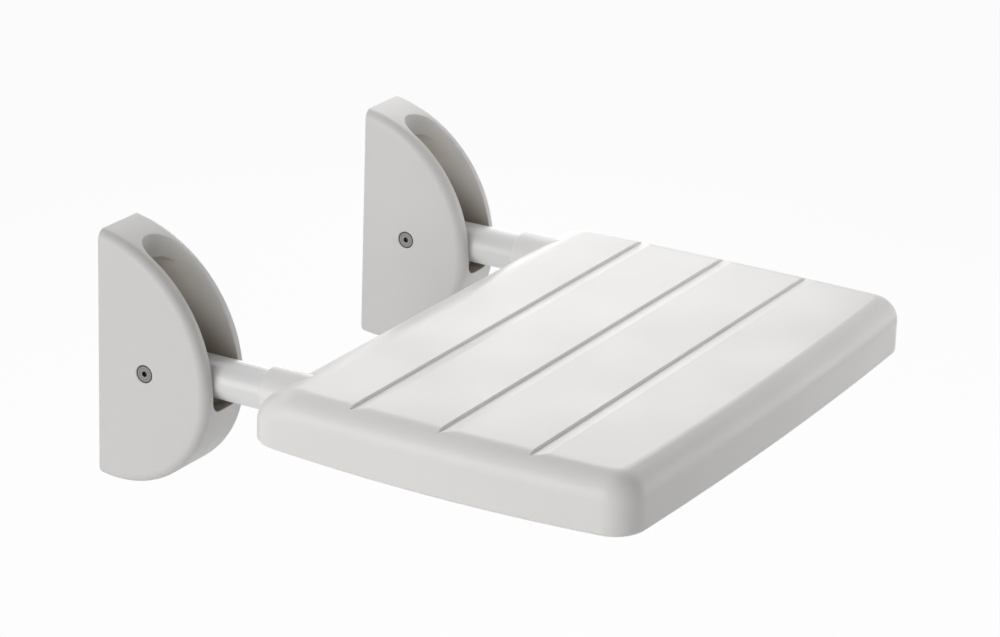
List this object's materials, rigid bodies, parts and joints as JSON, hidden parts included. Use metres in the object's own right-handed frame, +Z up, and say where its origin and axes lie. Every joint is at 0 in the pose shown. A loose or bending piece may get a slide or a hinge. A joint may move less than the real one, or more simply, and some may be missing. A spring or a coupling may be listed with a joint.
{
  "type": "folding shower seat",
  "caption": "Wall-mounted folding shower seat: a rounded white seat with cross grooves on two tubular arms that hinge in half-moon wall brackets.",
  "frame": {"origin": "on the wall plane, in the middle of the four wall fixing holes of the two brackets", "axes": "+X to the right along the wall, +Y into the wall, +Z up; the seat reaches out to -Y"},
  "size_m": [0.44, 0.4408, 0.1863],
  "materials": {
    "seat_plastic": "smooth white moulding with a soft gloss",
    "bracket_plastic": "satin white moulding",
    "arm_coating": "white powder coat",
    "stainless": "turned stainless steel",
    "bearing_plastic": "natural acetal",
    "stop_rubber": "dark grey rubber",
    "clamp_plastic": "white nylon",
    "cap_plastic": "light grey polyethylene"
  },
  "bodies": {
    "wall_brackets": {"bracket_housing_left": "bracket_plastic", "stop_pad_left": "stop_rubber", "pivot_barrel_left": "stainless", "pivot_screw_left": "stainless", "bracket_housing_right": "bracket_plastic", "stop_pad_right": "stop_rubber", "pivot_barrel_right": "stainless", "pivot_screw_right": "stainless"},
    "folding_seat": {"seat_shell": "seat_plastic", "arm_hub_left": "arm_coating", "pivot_bushes_left": "bearing_plastic", "hub_pin_left": "stainless", "arm_tube_left": "arm_coating", "tube_cap_left": "cap_plastic", "seat_clamp_rear_left": "clamp_plastic", "seat_clamp_front_left": "clamp_plastic", "clamp_screws_left": "stainless", "arm_hub_right": "arm_coating", "pivot_bushes_right": "bearing_plastic", "hub_pin_right": "stainless", "arm_tube_right": "arm_coating", "tube_cap_right": "cap_plastic", "seat_clamp_rear_right": "clamp_plastic", "seat_clamp_front_right": "clamp_plastic", "clamp_screws_right": "stainless"}
  },
  "joints": [
    {"name": "seat_fold", "type": "hinge", "parent": "wall_brackets", "child": "folding_seat", "pos_m": [0, -0.039, -0.027], "axis": [-1, 0, 0], "range_deg": [0, 88]}
  ]
}
